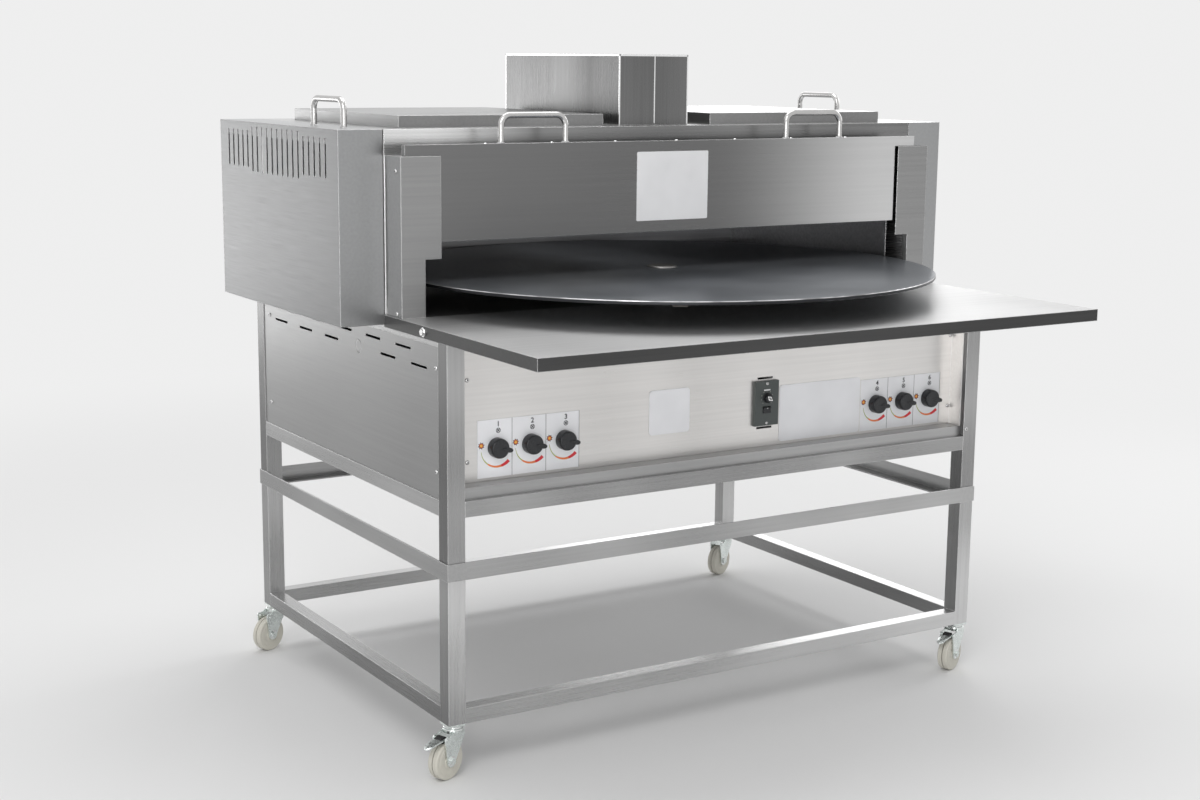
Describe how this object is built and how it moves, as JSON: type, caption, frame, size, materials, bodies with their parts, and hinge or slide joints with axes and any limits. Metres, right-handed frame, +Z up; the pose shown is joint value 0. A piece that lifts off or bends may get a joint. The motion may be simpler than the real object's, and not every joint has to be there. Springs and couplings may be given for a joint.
{
  "type": "rotating plate tandoor oven",
  "caption": "Stainless tandoor oven on a wheeled stand: a turning steel plate passes under a lift-out door into a burner-heated hood with a front shelf, chimney and control panel.",
  "frame": {"origin": "centre of the footprint on the floor", "axes": "+Z up, +X to the right as seen from the front, +Y to the back; the shelf and the controls face -Y"},
  "size_m": [1.567, 1.333, 1.425],
  "materials": {
    "tube_steel": "brushed",
    "sheet_steel": "brushed",
    "polished_rod": "polished",
    "bolt_steel": "satin",
    "white_plate": "gloss",
    "grey_plastic": "matte",
    "black_plastic": "gloss",
    "brass": "satin",
    "pipe_steel": "satin",
    "burner_iron": "rough",
    "painted_frame": "matte",
    "cast_aluminium": "cast",
    "dark_plate": "heat darkened",
    "wool_board": "fibrous",
    "zinc": "zinc plated",
    "nylon": "moulded"
  },
  "bodies": {
    "cabinet": {"stand_frame": "tube_steel", "stand_rim": "tube_steel", "caster_mounts": "zinc", "base_posts": "tube_steel", "base_rails": "tube_steel", "base_pan": "sheet_steel", "side_panels": "sheet_steel", "rear_panel": "sheet_steel", "power_inlet": "black_plastic", "control_panel": "sheet_steel", "panel_plates": "white_plate", "speed_box": "grey_plastic", "screws": "bolt_steel", "shelf": "sheet_steel", "gas_valves": "brass", "gas_manifold": "pipe_steel", "gas_pipes": "pipe_steel", "burners": "burner_iron", "drive_frame": "painted_frame", "spindle_bearing": "burner_iron", "gearmotor": "cast_aluminium", "cavity_floor": "sheet_steel", "cavity_walls": "sheet_steel", "cavity_ceiling": "sheet_steel", "insulation": "wool_board", "body_skins": "sheet_steel", "top_deck": "sheet_steel", "fascia": "sheet_steel", "chimney": "sheet_steel", "door_guides": "sheet_steel"},
    "turntable": {"spindle": "bolt_steel", "plate_hub": "bolt_steel", "turn_plate": "dark_plate", "centre_cap": "bolt_steel"},
    "door": {"door": "sheet_steel", "door_handles": "polished_rod"},
    "cover_left": {"cover_left": "sheet_steel", "cover_handle_left": "polished_rod"},
    "cover_right": {"cover_right": "sheet_steel", "cover_handle_right": "polished_rod"},
    "lid_left": {"lid_left": "sheet_steel"},
    "lid_right": {"lid_right": "sheet_steel"},
    "speed_dial": {"speed_dial": "grey_plastic"},
    "rocker": {"rocker": "grey_plastic"},
    "knob_1": {"knob_1": "black_plastic"},
    "knob_2": {"knob_2": "black_plastic"},
    "knob_3": {"knob_3": "black_plastic"},
    "knob_4": {"knob_4": "black_plastic"},
    "knob_5": {"knob_5": "black_plastic"},
    "knob_6": {"knob_6": "black_plastic"},
    "fork_front_left": {"fork_front_left": "zinc"},
    "wheel_front_left": {"wheel_front_left": "nylon"},
    "pedal_front_left": {"pedal_front_left": "zinc"},
    "fork_front_right": {"fork_front_right": "zinc"},
    "wheel_front_right": {"wheel_front_right": "nylon"},
    "pedal_front_right": {"pedal_front_right": "zinc"},
    "fork_rear_left": {"fork_rear_left": "zinc"},
    "wheel_rear_left": {"wheel_rear_left": "nylon"},
    "fork_rear_right": {"fork_rear_right": "zinc"},
    "wheel_rear_right": {"wheel_rear_right": "nylon"}
  },
  "joints": [
    {"name": "plate_spin", "type": "hinge", "parent": "cabinet", "child": "turntable", "pos_m": [0, -0.0225, 0.954], "axis": [0, 0, 1], "continuous": true},
    {"name": "door_lift", "type": "slide", "parent": "cabinet", "child": "door", "axis": [0, 0, 1], "range_m": [0, 0.25]},
    {"name": "cover_left_lift", "type": "slide", "parent": "cabinet", "child": "cover_left", "axis": [0, 0, 1], "range_m": [0, 0.4]},
    {"name": "lid_left_lift", "type": "slide", "parent": "cabinet", "child": "lid_left", "axis": [0, 0, 1], "range_m": [0, 0.2]},
    {"name": "cover_right_lift", "type": "slide", "parent": "cabinet", "child": "cover_right", "axis": [0, 0, 1], "range_m": [0, 0.4]},
    {"name": "lid_right_lift", "type": "slide", "parent": "cabinet", "child": "lid_right", "axis": [0, 0, 1], "range_m": [0, 0.2]},
    {"name": "knob_1_turn", "type": "hinge", "parent": "cabinet", "child": "knob_1", "pos_m": [-0.5525, -0.2675, 0.6535], "axis": [0, -1, 0], "range_deg": [-258, 0]},
    {"name": "knob_2_turn", "type": "hinge", "parent": "cabinet", "child": "knob_2", "pos_m": [-0.4745, -0.2675, 0.6535], "axis": [0, -1, 0], "range_deg": [-258, 0]},
    {"name": "knob_3_turn", "type": "hinge", "parent": "cabinet", "child": "knob_3", "pos_m": [-0.3965, -0.2675, 0.6535], "axis": [0, -1, 0], "range_deg": [-258, 0]},
    {"name": "knob_4_turn", "type": "hinge", "parent": "cabinet", "child": "knob_4", "pos_m": [0.4215, -0.2675, 0.6535], "axis": [0, -1, 0], "range_deg": [-258, 0]},
    {"name": "knob_5_turn", "type": "hinge", "parent": "cabinet", "child": "knob_5", "pos_m": [0.4995, -0.2675, 0.6535], "axis": [0, -1, 0], "range_deg": [-258, 0]},
    {"name": "knob_6_turn", "type": "hinge", "parent": "cabinet", "child": "knob_6", "pos_m": [0.5775, -0.2675, 0.6535], "axis": [0, -1, 0], "range_deg": [-258, 0]},
    {"name": "speed_dial_turn", "type": "hinge", "parent": "cabinet", "child": "speed_dial", "pos_m": [0.1105, -0.2745, 0.6955], "axis": [0, -1, 0], "range_deg": [-135, 135]},
    {"name": "rocker_tip", "type": "hinge", "parent": "cabinet", "child": "rocker", "pos_m": [0.1105, -0.2715, 0.6695], "axis": [1, 0, 0], "range_deg": [-16, 0]},
    {"name": "swivel_front_left", "type": "hinge", "parent": "cabinet", "child": "fork_front_left", "pos_m": [-0.6675, -0.2975, 0.101], "axis": [0, 0, 1], "continuous": true},
    {"name": "roll_front_left", "type": "hinge", "parent": "fork_front_left", "child": "wheel_front_left", "pos_m": [-0.68975, -0.30649, 0.04], "axis": [-0.3746, 0.9272, 0], "continuous": true},
    {"name": "brake_front_left", "type": "hinge", "parent": "fork_front_left", "child": "pedal_front_left", "pos_m": [-0.70088, -0.31099, 0.086], "axis": [0.3746, -0.9272, 0], "range_deg": [0, 26]},
    {"name": "swivel_front_right", "type": "hinge", "parent": "cabinet", "child": "fork_front_right", "pos_m": [0.6675, -0.2975, 0.101], "axis": [0, 0, 1], "continuous": true},
    {"name": "roll_front_right", "type": "hinge", "parent": "fork_front_right", "child": "wheel_front_right", "pos_m": [0.64525, -0.30649, 0.04], "axis": [-0.3746, 0.9272, 0], "continuous": true},
    {"name": "brake_front_right", "type": "hinge", "parent": "fork_front_right", "child": "pedal_front_right", "pos_m": [0.63412, -0.31099, 0.086], "axis": [0.3746, -0.9272, 0], "range_deg": [0, 26]},
    {"name": "swivel_rear_left", "type": "hinge", "parent": "cabinet", "child": "fork_rear_left", "pos_m": [-0.6675, 0.6445, 0.101], "axis": [0, 0, 1], "continuous": true},
    {"name": "roll_rear_left", "type": "hinge", "parent": "fork_rear_left", "child": "wheel_rear_left", "pos_m": [-0.68975, 0.63551, 0.04], "axis": [-0.3746, 0.9272, 0], "continuous": true},
    {"name": "swivel_rear_right", "type": "hinge", "parent": "cabinet", "child": "fork_rear_right", "pos_m": [0.6675, 0.6445, 0.101], "axis": [0, 0, 1], "continuous": true},
    {"name": "roll_rear_right", "type": "hinge", "parent": "fork_rear_right", "child": "wheel_rear_right", "pos_m": [0.64525, 0.63551, 0.04], "axis": [-0.3746, 0.9272, 0], "continuous": true}
  ]
}
